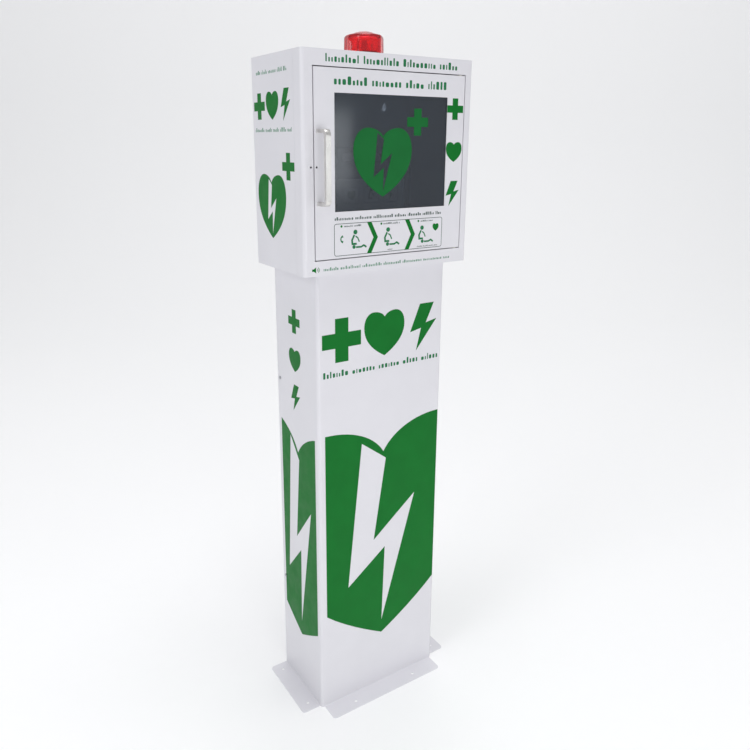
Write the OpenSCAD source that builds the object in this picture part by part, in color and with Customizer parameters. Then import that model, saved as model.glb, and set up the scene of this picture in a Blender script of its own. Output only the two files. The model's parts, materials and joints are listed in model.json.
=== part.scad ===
// Defibrillator station: a sheet-steel cabinet with a glazed door and an alarm beacon
// on a folded floor column, with a compact defibrillator on the shelf inside.
// Millimetres. +Z is up and the door faces -Y. The origin is the bottom centre of the box
// around the whole station.

/* [Column] */
// Width of the column across its front
col_w = 324; // [300:1:340]
// Depth of the column, front to back
col_d = 185; // [175:1:195]
// Height of the column, floor to cabinet
col_h = 1038; // [900:1:1200]
// Width of the folded floor flanges
flange_w = 45; // [40:1:55]
// Thickness of the column's sheet
sheet = 1.5; // [1.2:0.1:2]
// Outer radius of the folded front corners
edge_r = 8; // [6:0.5:10]

/* [Cabinet] */
// Width of the cabinet
cab_w = 400; // [396:1:410]
// Height of the cabinet
cab_h = 412; // [408:1:430]
// Depth of the cabinet
cab_d = 210; // [205:1:230]
// Depth of the front frame's returns
frame_d = 30; // [28:1:34]
// Border of the front frame on the handle side
border_left = 23; // [22:0.5:24]
// Border of the front frame on the hinge side
border_right = 19; // [18:0.5:20]
// Border of the front frame above and below the door
border_end = 29; // [27:0.5:31]

/* [Door] */
// Gap between the door and the frame
door_gap = 2; // [2:0.1:2.5]
// Depth of the folded door
door_t = 16; // [15:0.5:16]
// Width of the window opening
win_w = 267; // [240:1:270]
// Height of the window opening
win_h = 217; // [200:1:220]
// Height of the window's lower edge above the cabinet's base
win_z = 121; // [118:1:124]
// Centre of the window from the cabinet's centre
win_x = 2; // [0:0.5:3]
// Distance between the handle's feet
handle_cc = 132; // [96:1:160]
// Width of the handle's flat bar
handle_w = 11; // [10:0.5:13]
// Thickness of the handle's flat bar
handle_t = 7; // [6:0.5:8]

/* [Beacon] */
// Radius of the beacon's lens
lens_r = 41; // [38:0.5:42]
// Height of the beacon above the roof
beacon_h = 52; // [50:1:60]

/* [Defibrillator] */
// Width of the defibrillator
aed_w = 206; // [196:1:212]
// Height of the defibrillator's case
aed_h = 178; // [170:1:186]
// Depth of the defibrillator
aed_d = 76; // [72:1:80]

/* [Hidden] */

round_fn = 48;      // any value above 12 is a true circle
fit = 0.1;          // clearance between parts that touch on one body
run = 0.05;         // radial running clearance of the hinge
rear_head = 2;      // how far the rivet tails stand behind the cabinet

// Cabinet planes, with the cabinet's own centre at y = 0
front = -cab_d / 2;
back = cab_d / 2;
roof = col_h + cab_h;
col_front = back - col_d;
handle_reach = 34.5;  // from the door's face to the front of the handle
y_centre = (front - handle_reach + back + rear_head) / 2;

// Door opening in the front frame
open_l = -cab_w / 2 + border_left;
open_r = cab_w / 2 - border_right;
open_b = col_h + border_end;
open_t = roof - border_end;
lip_w = 14;
lip_y = front + door_t + 5;

// Door leaf
leaf_l = open_l + door_gap;
leaf_r = open_r - door_gap;
leaf_b = open_b + door_gap;
leaf_t = open_t - door_gap;
return_w = 10;

// Window
win_l = win_x - win_w / 2;
win_r = win_x + win_w / 2;
win_b = col_h + win_z;
win_t = win_b + win_h;
pane_lap = 10;
pane_t = 3;
stud_lap = 16;
retainer_t = 2;

// Hinge axis
hinge_x = leaf_r - 10;
hinge_y = front + 5.5;
pin_r = 2;

// Tamper-seal holes and handle
seal_z = col_h + 205;
seal_r = 2;
handle_x = -164.5;
handle_z = col_h + 204;
handle_bend = 12;

// Floor anchors
anchor_r = 3.5;
front_anchor_x = 83.5;
side_anchor_out = 21.5;
side_anchor_y = [31, 162];

// Screws that hold the column's rear panel
rear_screw_z = [260, 773];

// Cabinet bolts
bolt_x = 104;
bolt_y = [-45, 65];
bolt_r = 4;

// Shelf
shelf_w = 240;
shelf_front = -44;
shelf_z = col_h + 28;
shelf_rivet_x = 80;
shelf_rivet_z = 22;

// Keyhole slots in the back panel
key_x = 121;
key_z = [94, 323];
key_big = 5;
key_small = 2.6;
key_rise = 9;

// Alarm box under the roof
box_x = -150;
box_y = -12;
box_w = 104;
box_d = 70;
box_h = 34;
box_wall = 2;
ceiling = roof - sheet;
rocker_x = box_x + 24;
rocker_y = box_y + 18;
rocker_axis_z = ceiling - box_h + 0.5;

// Door sensor and catch
sensor_x = -150;
sensor_w = 28;
sensor_z = open_t - 28;
catch_z = col_h + 95;
catch_h = 30;

// Defibrillator
aed_front = -30;
aed_back = aed_front + aed_d;
aed_split = aed_front + 38;
aed_foot = 3;
aed_z = shelf_z + sheet + aed_foot + fit;
aed_r = 16;
aed_wall = 2.5;
power_x = -52;
shock_x = 50;
button_z = aed_z + 62;
power_r = 13;
shock_r = 17;
speaker_z = aed_z + 163;
lamp_x = 78;

// Beacon
beacon_screw_r = 24;
beacon_angles = [30, 150, 270];
grommet_r = 8;
base_rim = 3;
seat = 1.5;

// Wiring
cable_r = 1.6;
sensor_run_z = ceiling - 6;
beacon_run_z = ceiling - 14;

steel_white = [0.93, 0.93, 0.95];
steel_grey = [0.62, 0.63, 0.65];
rubber_black = [0.08, 0.08, 0.08];
case_grey = [0.20, 0.21, 0.23];

// ---------- helpers ----------

// A box between two corners
module block(x0, x1, y0, y1, z0, z1) {
  translate([x0, y0, z0]) cube([x1 - x0, y1 - y0, z1 - z0]);
}

// A rectangular ring in the XZ plane: outer edges, a width all round, and a depth along Y
module ring_xz(x0, x1, z0, z1, wide, y0, y1) {
  difference() {
    block(x0, x1, y0, y1, z0, z1);
    block(x0 + wide, x1 - wide, y0 - 1, y1 + 1, z0 + wide, z1 - wide);
  }
}

// A round bar along Y, from y0 to y1
module bar_y(x, z, r, y0, y1) {
  translate([x, y1, z]) rotate([90, 0, 0]) cylinder(r = r, h = y1 - y0, $fn = round_fn);
}

// A round bar along X, from x0 to x1
module bar_x(y, z, r, x0, x1) {
  translate([x0, y, z]) rotate([0, 90, 0]) cylinder(r = r, h = x1 - x0, $fn = round_fn);
}

// A round bar along Z, from z0 to z1
module bar_z(x, y, r, z0, z1) {
  translate([x, y, z0]) cylinder(r = r, h = z1 - z0, $fn = round_fn);
}

// A rectangle with true round corners, centred
module round_rect(w, h, r) {
  square([w - 2 * r, h], center = true);
  square([w, h - 2 * r], center = true);
  for (x = [-1, 1], y = [-1, 1])
    translate([x * (w / 2 - r), y * (h / 2 - r)]) circle(r = r, $fn = round_fn);
}

// A rounded plate in the XZ plane, from y0 to y1, centred on x and z
module round_plate(x, z, w, h, r, y0, y1) {
  translate([x, y1, z]) rotate([90, 0, 0]) linear_extrude(y1 - y0) round_rect(w, h, r);
}

// A quarter turn of round bar in the XY plane, about the origin
module elbow(bend, r) {
  rotate_extrude(angle = 90, $fn = round_fn) translate([bend, 0]) circle(r = r, $fn = round_fn);
}

// The plan of a folded sheet with round front corners, open at the back
module folded_plan(w, d, r, t) {
  translate([-w / 2, r]) square([t, d - r]);
  translate([w / 2 - t, r]) square([t, d - r]);
  difference() {
    union() {
      translate([-w / 2 + r, 0]) square([w - 2 * r, t]);
      for (s = [-1, 1]) translate([s * (w / 2 - r), r]) circle(r = r, $fn = round_fn);
    }
    for (s = [-1, 1]) translate([s * (w / 2 - r), r]) circle(r = r - t, $fn = round_fn);
    translate([-w / 2 + r, t]) square([w - 2 * r, 2 * r]);
    translate([-w, r]) square([2 * w, 2 * r]);
  }
}

// The filled plan of the same sheet, for its end plates
module filled_plan(w, d, r) {
  translate([-w / 2 + r, 0]) square([w - 2 * r, d]);
  translate([-w / 2, r]) square([w, d - r]);
  for (s = [-1, 1]) translate([s * (w / 2 - r), r]) circle(r = r, $fn = round_fn);
}

// A floor flange lying along X from the wall at y = 0 towards -Y, with round outer corners
module flange(len, wide, t) {
  r = 8;
  translate([-len / 2 + r, -wide, 0]) cube([len - 2 * r, wide, t]);
  translate([-len / 2, -wide + r, 0]) cube([len, wide - r, t]);
  for (s = [-1, 1]) translate([s * (len / 2 - r), -wide + r, 0]) cylinder(r = r, h = t, $fn = round_fn);
}

// The inside fillet of a fold between a wall at y = 0 and a flange
module fold_fillet(len, r) {
  translate([-len / 2, 0, 0]) rotate([90, 0, 90]) linear_extrude(len) difference() {
    translate([-r, 0]) square([r, r]);
    translate([-r, r]) circle(r = r, $fn = round_fn);
  }
}

// A round-head screw along +Y: the head's outer face is at y = 0 and the shank runs to y = len
module screw_y(head_r, head_h, shank_r, len) {
  bar_y(0, 0, head_r, 0, head_h);
  bar_y(0, 0, shank_r, head_h - 0.01, len);
}

// A thin-walled box, open on its lower side
module open_box(x0, x1, y0, y1, z0, z1, wall) {
  difference() {
    block(x0, x1, y0, y1, z0, z1);
    block(x0 + wall, x1 - wall, y0 + wall, y1 - wall, z0 - 1, z1 - wall);
  }
}

// Moves the station so that its box is centred on the origin
module place() {
  translate([0, -y_centre, 0]) children();
}

// ---------- column ----------

module column_shell() {
  side_len = col_d - edge_r - 2;
  color(steel_white) difference() {
    union() {
      translate([0, col_front, 0]) linear_extrude(col_h) folded_plan(col_w, col_d, edge_r, sheet);
      translate([0, col_front, 0]) {
        flange(col_w - 2 * edge_r, flange_w, sheet);
        translate([0, 0, sheet]) fold_fillet(col_w - 2 * edge_r, 2);
      }
      for (s = [-1, 1]) translate([s * col_w / 2, col_front + edge_r + side_len / 2, 0])
        rotate([0, 0, s * 90]) {
          flange(side_len, flange_w, sheet);
          translate([0, 0, sheet]) fold_fillet(side_len, 2);
        }
    }
    for (s = [-1, 1]) {
      bar_z(s * front_anchor_x, col_front - 25.5, anchor_r, -1, 3);
      for (y = side_anchor_y)
        bar_z(s * (col_w / 2 + side_anchor_out), col_front + y, anchor_r, -1, 3);
      for (z = rear_screw_z) bar_x(back - 12, z, 2.1, s * col_w / 2 - 3, s * col_w / 2 + 3);
    }
  }
}

module column_rear_panel() {
  half = col_w / 2 - sheet - fit;
  color(steel_white) difference() {
    union() {
      block(-half, half, back - sheet, back, 2, col_h - 30);
      for (s = [-1, 1]) {
        inner = s * (half - sheet / 2);
        block(inner - sheet / 2, inner + sheet / 2, back - 22, back - 0.5, 2, col_h - 30);
      }
    }
    for (s = [-1, 1], z = rear_screw_z) bar_x(back - 12, z, 2.1, s * half - 3, s * half + 3);
  }
}

module rear_panel_screws() {
  color(steel_grey) for (s = [-1, 1], z = rear_screw_z)
    translate([s * (col_w / 2 + 2), back - 12, z]) rotate([0, 0, s * 90]) screw_y(3.6, 2, 2, 9);
}

module column_top_plate() {
  half = col_w / 2 - sheet - fit;
  y0 = col_front + sheet + fit;
  y1 = back - sheet - fit;
  lip = 25;
  color(steel_white) difference() {
    union() {
      block(-half + edge_r, half - edge_r, y0, y1, col_h - 2, col_h);
      block(-half, half, y0 + edge_r, y1, col_h - 2, col_h);
      block(-half + edge_r, half - edge_r, y0, y0 + 2, col_h - lip, col_h);
      block(-half + edge_r, half - edge_r, y1 - 2, y1, col_h - lip, col_h);
      for (s = [-1, 1]) {
        inner = s * (half - 1);
        block(inner - 1, inner + 1, y0 + edge_r, y1 - 6, col_h - lip, col_h);
      }
    }
    for (x = [-bolt_x, bolt_x], y = bolt_y) bar_z(x, y, bolt_r + 0.4, col_h - 3, col_h + 1);
  }
}

module bolt_places() {
  for (x = [-bolt_x, bolt_x], y = bolt_y) translate([x, y, 0]) children();
}

module cabinet_bolts() {
  head = 5.3;
  color(steel_grey) bolt_places() {
    translate([0, 0, col_h + sheet + 1.6]) cylinder(r = 7.5, h = head, $fn = 6);
    bar_z(0, 0, bolt_r, col_h - 16, col_h + sheet + 1.7);
  }
}

module cabinet_washers() {
  color(steel_grey) bolt_places() difference() {
    bar_z(0, 0, 8.5, col_h + sheet, col_h + sheet + 1.6);
    bar_z(0, 0, bolt_r + 0.2, col_h, col_h + 5);
  }
}

module cabinet_nuts() {
  color(steel_grey) bolt_places() difference() {
    translate([0, 0, col_h - 8.5]) cylinder(r = 7.5, h = 6.5, $fn = 6);
    bar_z(0, 0, bolt_r + 0.05, col_h - 10, col_h);
  }
}

// ---------- cabinet ----------

wrap_front = front + frame_d + 0.3;

module cabinet_wrap() {
  w = cab_w / 2;
  step = sheet + fit;
  color(steel_white) difference() {
    union() {
      ring_xz(-w, w, col_h, roof, sheet, wrap_front, back);
      ring_xz(-w + sheet, w - sheet, col_h + sheet, roof - sheet, sheet, wrap_front, wrap_front + 14);
      ring_xz(-w + step, w - step, col_h + step, roof - step, sheet - fit,
              wrap_front - 14, wrap_front + 1);
      ring_xz(-w + 1, w - 1, col_h + 1, roof - 1, 14, back - 3, back - sheet);
    }
    for (x = [-bolt_x, bolt_x], y = bolt_y) bar_z(x, y, bolt_r + 0.4, col_h - 1, col_h + 3);
    for (a = beacon_angles) rotate([0, 0, a]) bar_z(beacon_screw_r, 0, 2.2, roof - 3, roof + 1);
    bar_z(0, 0, grommet_r, roof - 3, roof + 1);
    rivet_places() bar_y(0, 0, 2.1, back - 5, back + 1);
  }
}

// Blind rivets around the back panel's edge
module rivet_places() {
  x = cab_w / 2 - 9;
  z0 = col_h + 9;
  z1 = roof - 9;
  for (s = [-1, 1]) {
    for (k = [0:3]) translate([s * x, 0, z0 + (z1 - z0) * (k + 0.5) / 4]) children();
    translate([s * 90, 0, z0]) children();
    translate([s * 90, 0, z1]) children();
  }
}

module keyhole(x, z) {
  bar_y(x, z, key_big, back - 5, back + 5);
  bar_y(x, z + key_rise, key_small, back - 5, back + 5);
  block(x - key_small, x + key_small, back - 5, back + 5, z, z + key_rise);
}

module cabinet_back_panel() {
  w = cab_w / 2 - sheet - 0.2;
  color(steel_white) difference() {
    block(-w, w, back - sheet, back, col_h + sheet + 0.2, roof - sheet - 0.2);
    rivet_places() bar_y(0, 0, 2.1, back - 5, back + 1);
    shelf_rivet_places() bar_y(0, 0, 2.1, back - 5, back + 1);
    for (s = [-1, 1], z = key_z) keyhole(s * key_x, col_h + z);
  }
}

module back_panel_rivets() {
  color(steel_grey) rivet_places() {
    bar_y(0, 0, 4, back, back + 1.4);
    bar_y(0, 0, 2, back - 5, back + 0.1);
  }
}

module front_frame() {
  w = cab_w / 2;
  color(steel_white) difference() {
    union() {
      translate([0, front, col_h]) linear_extrude(cab_h) folded_plan(cab_w, frame_d, edge_r, sheet);
      for (z = [col_h, roof - sheet])
        translate([0, front, z]) linear_extrude(sheet) filled_plan(cab_w, frame_d, edge_r);
      ring_xz(open_l - sheet, open_r + sheet, open_b - sheet, open_t + sheet, sheet,
              front + 0.1, lip_y + sheet);
      ring_xz(open_l - 0.1, open_r + 0.1, open_b - 0.1, open_t + 0.1, lip_w + 0.1,
              lip_y, lip_y + sheet);
    }
    block(open_l, open_r, front - 1, front + 10, open_b, open_t);
    bar_y(open_l - 5.3, seal_z, seal_r, front - 1, front + 5);
    bar_z(hinge_x, hinge_y, 2.6, open_b - 5, open_t + 5);
  }
}

// Foam strip on the stop lip, on three sides, clear of the hinge
module door_gasket() {
  color(rubber_black) {
    y0 = front + door_t + 0.3;
    x_end = hinge_x - 12;
    block(open_l + 1, open_l + 12, y0, lip_y, open_b + 1, open_t - 1);
    for (z = [open_b + 1, open_t - 12]) block(open_l + 12, x_end, y0, lip_y, z, z + 11);
  }
}

// ---------- hinge ----------

bracket_h = 7;

module hinge_brackets() {
  color(steel_white) for (end = [0, 1]) {
    z0 = end ? open_t + sheet : open_b - sheet - bracket_h;
    difference() {
      block(hinge_x - 13, hinge_x + 8, front + sheet, hinge_y + 8, z0, z0 + bracket_h);
      bar_z(hinge_x, hinge_y, pin_r + run, z0 - 1, z0 + bracket_h + 1);
    }
  }
}

module hinge_pins() {
  color(steel_grey) {
    top = open_t + sheet + bracket_h;
    bar_z(hinge_x, hinge_y, pin_r, open_t - 13, top + 0.1);
    bar_z(hinge_x, hinge_y, 3.6, top, top + 2);
    low = open_b - sheet - bracket_h;
    bar_z(hinge_x, hinge_y, pin_r, low - 0.1, open_b + 13);
    bar_z(hinge_x, hinge_y, 3.6, low - 2, low);
  }
}

module hinge_bushes() {
  color([0.88, 0.88, 0.84]) for (end = [0, 1]) {
    outer = end ? leaf_t + 1.5 : leaf_b - 1.5;
    inner = end ? leaf_t - 9 : leaf_b + 9;
    edge = end ? leaf_t : leaf_b;
    difference() {
      union() {
        bar_z(hinge_x, hinge_y, 5, min(edge, outer), max(edge, outer));
        bar_z(hinge_x, hinge_y, 3.6, min(edge, inner), max(edge, inner));
      }
      bar_z(hinge_x, hinge_y, pin_r + run, min(outer, inner) - 1, max(outer, inner) + 1);
    }
  }
}

// ---------- door ----------

module door_panel() {
  color(steel_white) difference() {
    union() {
      ring_xz(leaf_l, leaf_r, leaf_b, leaf_t, sheet, front, front + door_t);
      block(leaf_l + 0.5, leaf_r - 0.5, front, front + sheet, leaf_b + 0.5, leaf_t - 0.5);
      ring_xz(leaf_l + 0.5, leaf_r - 0.5, leaf_b + 0.5, leaf_t - 0.5, return_w,
              front + door_t - sheet, front + door_t);
      stud_places() bar_y(0, 0, 1.5, front + 0.5, front + 11);
    }
    block(win_l, win_r, front - 1, front + 3, win_b, win_t);
    bar_y(leaf_l + 5, seal_z, seal_r, front - 1, front + 4);
    for (s = [-1, 1]) bar_y(handle_x, handle_z + s * handle_cc / 2, 2.2, front - 1, front + 4);
    bar_z(hinge_x, hinge_y, 3.65, leaf_b - 1, leaf_b + 3);
    bar_z(hinge_x, hinge_y, 3.65, leaf_t - 3, leaf_t + 1);
  }
}

// Weld studs around the window
module stud_places() {
  x0 = win_l - stud_lap;
  x1 = win_r + stud_lap;
  z0 = win_b - stud_lap;
  z1 = win_t + stud_lap;
  for (x = [x0, win_x, x1], z = [z0, z1]) translate([x, 0, z]) children();
  for (x = [x0, x1]) translate([x, 0, (z0 + z1) / 2]) children();
}

module window_gasket() {
  color(rubber_black)
    ring_xz(win_l - pane_lap, win_r + pane_lap, win_b - pane_lap, win_t + pane_lap, pane_lap - 1.5,
            front + sheet, front + sheet + 1);
}

module window_pane() {
  color([0.10, 0.11, 0.13, 0.6])
    block(win_l - pane_lap, win_r + pane_lap, front + sheet + 1, front + sheet + 1 + pane_t,
          win_b - pane_lap, win_t + pane_lap);
}

module window_retainer() {
  y0 = front + sheet + 1 + pane_t;
  lap = stud_lap + 6;
  color(steel_white) difference() {
    ring_xz(win_l - lap, win_r + lap, win_b - lap, win_t + lap, lap - 2, y0, y0 + retainer_t);
    stud_places() bar_y(0, 0, 1.6, y0 - 1, y0 + retainer_t + 1);
  }
}

module retainer_nuts() {
  y0 = front + sheet + 1 + pane_t + retainer_t;
  color(steel_grey) stud_places() difference() {
    translate([0, y0 + 2.4, 0]) rotate([90, 0, 0]) cylinder(r = 3.2, h = 2.4, $fn = 6);
    bar_y(0, 0, 1.55, y0 - 1, y0 + 4);
  }
}

// A flat bar bent twice: the grip, two round bends and two legs
module door_handle() {
  y0 = front - handle_reach;
  half = handle_cc / 2 + handle_t / 2;
  x0 = handle_x - handle_w / 2;
  x1 = handle_x + handle_w / 2;
  color([0.80, 0.80, 0.78]) difference() {
    union() {
      block(x0, x1, y0, y0 + handle_t, handle_z - half + handle_bend, handle_z + half - handle_bend);
      for (s = [-1, 1]) {
        z_out = handle_z + s * half;
        z_in = z_out - s * handle_t;
        block(x0, x1, y0 + handle_bend, front, min(z_in, z_out), max(z_in, z_out));
        intersection() {
          translate([handle_x, y0 + handle_bend, z_out - s * handle_bend]) rotate([0, 90, 0]) difference() {
            cylinder(r = handle_bend, h = handle_w, center = true, $fn = round_fn);
            cylinder(r = handle_bend - handle_t, h = handle_w + 2, center = true, $fn = round_fn);
          }
          block(x0 - 1, x1 + 1, y0 - 1, y0 + handle_bend,
                min(z_out - s * handle_bend, z_out + s), max(z_out - s * handle_bend, z_out + s));
        }
      }
    }
    for (s = [-1, 1]) bar_y(handle_x, handle_z + s * handle_cc / 2, 2, front - 12, front + 1);
  }
}

module handle_screws() {
  color(steel_grey) for (s = [-1, 1]) translate([handle_x, 0, handle_z + s * handle_cc / 2]) {
    bar_y(0, 0, 3.9, front + sheet, front + sheet + 2.4);
    bar_y(0, 0, 1.95, front - 10, front + sheet + 0.1);
  }
}

module strike_plate() {
  color(steel_grey) difference() {
    block(leaf_l + 2, leaf_l + 25, front + door_t - sheet - 1.6, front + door_t - sheet,
          catch_z, catch_z + catch_h);
    block(leaf_l + 12, leaf_l + 40, front, front + door_t, catch_z - 1, catch_z);
  }
}

module sensor_magnet() {
  color(rubber_black)
    block(sensor_x, sensor_x + sensor_w, front + sheet, front + 13.5, sensor_z + 5.5, sensor_z + 13);
}

// ---------- catch, sensor and wiring ----------

module catch_body() {
  color(rubber_black) difference() {
    union() {
      block(open_l + 1, open_l + 28, lip_y + sheet, lip_y + 16, catch_z, catch_z + catch_h);
      block(open_l + lip_w + 0.5, open_l + 28, front + 15.5, lip_y + sheet + 0.1,
            catch_z + 2, catch_z + catch_h - 2);
    }
    block(open_l + lip_w + 2, open_l + 26.5, front, lip_y + 12, catch_z + 4, catch_z + catch_h - 4);
  }
}

module catch_magnets() {
  x0 = open_l + lip_w + 2 + fit;
  x1 = open_l + 26.5 - fit;
  z0 = catch_z + 4 + fit;
  bar = (catch_h - 8 - 2 * fit - 2) / 2;
  color(steel_grey) for (z = [z0, z0 + bar + 2])
    block(x0, x1, front + 15, lip_y + 12, z, z + bar);
}

module door_sensor() {
  color([0.90, 0.90, 0.88])
    block(sensor_x, sensor_x + sensor_w, lip_y + sheet, lip_y + 11, sensor_z, sensor_z + 24);
}

// Lead from the door sensor up to the ceiling and back to the alarm box
module sensor_cable() {
  x = sensor_x + sensor_w / 2;
  y0 = lip_y + 6;
  z0 = sensor_z + 24;
  z1 = sensor_run_z;
  bend = 8;
  color(rubber_black) {
    bar_z(x, y0, cable_r, z0, z1 - bend);
    translate([x, y0 + bend, z1 - bend]) rotate([0, 90, 0]) rotate([0, 0, 180]) elbow(bend, cable_r);
    bar_y(x, z1, cable_r, y0 + bend, box_y + 4);
  }
}

// Lead from the alarm box along the ceiling to the beacon's grommet
module beacon_cable() {
  z1 = beacon_run_z;
  bend = 8;
  color(rubber_black) {
    bar_x(0, z1, cable_r, box_x + box_w - 4, -bend);
    translate([-bend, 0, z1 + bend]) rotate([90, 0, 0]) rotate([0, 0, -90]) elbow(bend, cable_r);
    bar_z(0, 0, cable_r, z1 + bend, roof + 8);
  }
}

module clip(x, y, z) {
  difference() {
    block(x - 4, x + 4, y - 4, y + 4, z - 3.2, ceiling);
    children();
  }
}

module cable_clips() {
  x = sensor_x + sensor_w / 2;
  color([0.85, 0.85, 0.83]) {
    clip(x, -46, sensor_run_z) bar_y(x, sensor_run_z, cable_r + 0.1, -60, -30);
    clip(-32, 0, beacon_run_z) bar_x(0, beacon_run_z, cable_r + 0.1, -50, -15);
  }
}

// ---------- alarm ----------

module alarm_base() {
  z0 = ceiling - box_h;
  color([0.90, 0.90, 0.87]) difference() {
    union() {
      open_box(box_x, box_x + box_w, box_y, box_y + box_d, z0 + 3, ceiling, box_wall);
      alarm_screw_places() block(-3.6, 3.6, -3.6, 3.6, z0 + 3, ceiling - 1);
      for (x = [box_x + 30, box_x + box_w - 30])
        bar_z(x, box_y + 14, 2.5, ceiling - 10.4, ceiling - 1);
    }
    alarm_screw_places() bar_z(0, 0, 1.55, z0, z0 + 15);
    bar_x(0, beacon_run_z, cable_r + 0.2, box_x + box_w - 5, box_x + box_w + 5);
    bar_y(sensor_x + sensor_w / 2, sensor_run_z, cable_r + 0.2, box_y - 5, box_y + 5);
  }
}

module alarm_cover() {
  z0 = ceiling - box_h;
  bx = box_x + box_w - 28;
  by = box_y + box_d / 2;
  color([0.86, 0.86, 0.83]) difference() {
    block(box_x, box_x + box_w, box_y, box_y + box_d, z0, z0 + 3);
    for (a = [0:30:330]) translate([bx, by, 0]) rotate([0, 0, a]) bar_z(9, 0, 1.4, z0 - 1, z0 + 5);
    bar_z(bx, by, 2.2, z0 - 1, z0 + 5);
    block(rocker_x - 11, rocker_x + 11, rocker_y - 7.5, rocker_y + 7.5, z0 - 1, z0 + 5);
    alarm_screw_places() bar_z(0, 0, 1.6, z0 - 1, z0 + 5);
  }
}

module alarm_screw_places() {
  for (x = [box_x + 5.4, box_x + box_w - 5.4], y = [box_y + 5.4, box_y + box_d - 5.4])
    translate([x, y, 0]) children();
}

module alarm_cover_screws() {
  z0 = ceiling - box_h;
  color(steel_grey) alarm_screw_places() {
    bar_z(0, 0, 2.8, z0 - 1.6, z0);
    bar_z(0, 0, 1.5, z0 - 0.1, z0 + 14);
  }
}

module alarm_board() {
  z0 = ceiling - box_h;
  x0 = box_x + 10;
  color([0.10, 0.35, 0.18]) {
    block(x0, box_x + box_w - 10, box_y + 10, box_y + box_d - 10, ceiling - 12, ceiling - 10.4);
    block(x0 + 50, x0 + 62, box_y + 42, box_y + 54, ceiling - 14.5, ceiling - 12);
    block(x0 + 6, x0 + 24, box_y + 44, box_y + 53, ceiling - 16, ceiling - 12);
  }
}

module alarm_batteries() {
  color([0.25, 0.27, 0.30]) for (k = [0:2])
    bar_x(box_y + 17.8 + 14.8 * k, ceiling - 23.8, 7.2, box_x + 39, box_x + 60);
}

module alarm_sounder() {
  z0 = ceiling - box_h;
  bx = box_x + box_w - 28;
  by = box_y + box_d / 2;
  color(rubber_black) difference() {
    bar_z(bx, by, 14, z0 + 3, z0 + 12);
    bar_z(bx, by, 11, z0 + 2, z0 + 5);
  }
}

module rocker_bezel() {
  z0 = ceiling - box_h;
  color(rubber_black) difference() {
    union() {
      block(rocker_x - 12.5, rocker_x + 12.5, rocker_y - 9, rocker_y + 9, z0 - 1.5, z0);
      block(rocker_x - 10.8, rocker_x + 10.8, rocker_y - 7.3, rocker_y + 7.3, z0 - 0.1, z0 + 12);
    }
    block(rocker_x - 9.6, rocker_x + 9.6, rocker_y - 5.6, rocker_y + 5.6, z0 - 3, z0 + 9);
  }
}

// A rocker key with its pivot across Y, resting with its +X end pressed
module alarm_rocker() {
  tilt = 9;
  color([0.75, 0.10, 0.08]) translate([rocker_x, rocker_y, rocker_axis_z])
    rotate([0, -tilt, 0]) intersection() {
      translate([-8.6, -5.2, -4.5]) cube([17.2, 10.4, 8]);
      rotate([90, 0, 0]) cylinder(r = 9, h = 12, center = true, $fn = round_fn);
    }
}

// ---------- beacon ----------

module beacon_gasket() {
  color(rubber_black) difference() {
    bar_z(0, 0, lens_r - 2.5, roof, roof + seat);
    bar_z(0, 0, 12, roof - 1, roof + 3);
    for (a = beacon_angles) rotate([0, 0, a]) bar_z(beacon_screw_r, 0, 2.2, roof - 1, roof + 3);
  }
}

module beacon_base() {
  z = roof + seat;
  color([0.05, 0.05, 0.05]) difference() {
    union() {
      bar_z(0, 0, lens_r - 1.5, z, z + base_rim);
      bar_z(0, 0, 32.5, z, z + 11);
    }
    bar_z(0, 0, 28.5, z + 2.5, z + 12);
    bar_z(0, 0, 5, z - 1, z + 5);
    for (a = beacon_angles) rotate([0, 0, a]) bar_z(beacon_screw_r, 0, 2.2, z - 1, z + 5);
  }
}

module beacon_screws() {
  z = roof + seat + 2.5;
  color(steel_grey) for (a = beacon_angles) rotate([0, 0, a]) {
    bar_z(beacon_screw_r, 0, 3.6, z, z + 2.4);
    bar_z(beacon_screw_r, 0, 2, roof - 10, z + 0.1);
  }
}

module beacon_nuts() {
  color(steel_grey) for (a = beacon_angles) rotate([0, 0, a]) difference() {
    translate([beacon_screw_r, 0, roof - sheet - 3.2]) cylinder(r = 4, h = 3.2, $fn = 6);
    bar_z(beacon_screw_r, 0, 2.05, roof - 8, roof);
  }
}

// A faceted dish that throws the lamps' light outwards
module beacon_reflector() {
  z = roof + seat + 11;
  color([0.85, 0.85, 0.87]) translate([0, 0, z]) rotate_extrude($fn = round_fn)
    polygon([[12.5, 0], [31.5, 0], [31.5, 1.5], [24, 3], [18, 6], [14, 9], [12.5, 9]]);
}

module beacon_leds() {
  color([0.95, 0.90, 0.80]) {
    z = roof + seat + 2.5;
    difference() {
      translate([0, 0, z]) cylinder(r = 9, h = beacon_h - 20, $fn = 6);
      bar_z(0, 0, 2.2, z - 1, z + 10);
    }
    for (a = [30:60:330], k = [0, 1]) rotate([0, 0, a])
      block(7.5, 10.8, -2.5, 2.5, z + 12 + 8 * k, z + 17 + 8 * k);
  }
}

lens_z = roof + seat + base_rim;
lens_top = roof + beacon_h;
lens_round = 5;
lens_dome = 5;

// Outline of the lens: a straight wall, a round shoulder and a shallow dome
function lens_outline() = concat(
  [[0, lens_z], [lens_r, lens_z]],
  [for (a = [0:15:75]) [lens_r - lens_round + lens_round * cos(a),
                        lens_top - lens_dome - lens_round + lens_round * sin(a)]],
  [for (k = [0:5]) let (x = (lens_r - lens_round) * (1 - k / 5))
    [x, lens_top - lens_dome * pow(x / (lens_r - lens_round), 2)]]
);

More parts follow.
